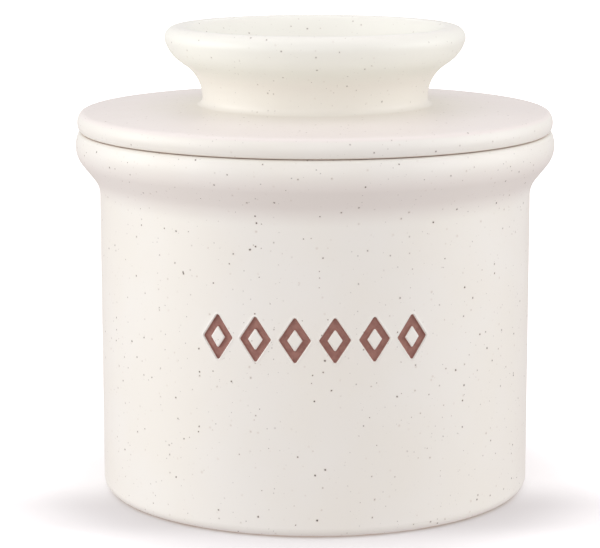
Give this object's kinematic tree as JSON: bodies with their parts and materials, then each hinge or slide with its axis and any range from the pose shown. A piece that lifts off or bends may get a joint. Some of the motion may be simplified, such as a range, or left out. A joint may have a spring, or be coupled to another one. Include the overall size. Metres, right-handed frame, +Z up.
{
  "type": "butter crock",
  "caption": "Round lidded crock for soft butter: the lid carries a deep bell that stands in water inside the crock, and a flared hollow knob that becomes its foot when turned over.",
  "frame": {"origin": "centre of the foot ring's flat, on the surface the crock stands on", "axes": "+Z up along the axis of revolution, front with the stamped marks towards -Y, +X to the right of someone facing the front"},
  "size_m": [0.12, 0.12, 0.1168],
  "materials": {
    "glaze": "satin warm-white glaze with sparse dark specks",
    "slip": "matte brown slip"
  },
  "bodies": {
    "crock_body": {"crock": "glaze", "slip_mark_1": "slip", "slip_mark_2": "slip", "slip_mark_3": "slip", "slip_mark_4": "slip", "slip_mark_5": "slip", "slip_mark_6": "slip"},
    "lid_body": {"lid": "glaze"}
  },
  "joints": [
    {"name": "lid_lift", "type": "slide", "parent": "crock_body", "child": "lid_body", "axis": [0, 0, 1], "range_m": [0, 0.085]}
  ]
}
